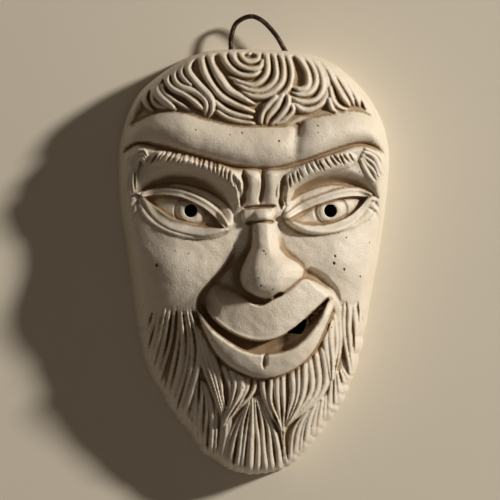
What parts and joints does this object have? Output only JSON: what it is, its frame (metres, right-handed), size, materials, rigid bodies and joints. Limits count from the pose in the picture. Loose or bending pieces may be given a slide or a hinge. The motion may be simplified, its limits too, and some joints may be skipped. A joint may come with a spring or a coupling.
{
  "type": "plaster wall mask",
  "caption": "Hollow cast plaster mask of a grinning bearded theatre face, with a bent wire loop at the crown to hang it by.",
  "frame": {"origin": "on the plane of the flat back ring, under the middle of the box around the mask and its loop", "axes": "+X to the right of the face as it is seen, +Y from the beard to the crown and the loop, +Z out of the face; the mask lies on its back ring"},
  "size_m": [0.1466, 0.2484, 0.0607],
  "materials": {
    "plaster": "matt cast plaster with a thin brown wash in the recesses",
    "wire": "dark brown, slightly glossy"
  },
  "bodies": {
    "root": {"plaster_mask": "plaster", "hanging_loop": "wire"}
  },
  "joints": []
}
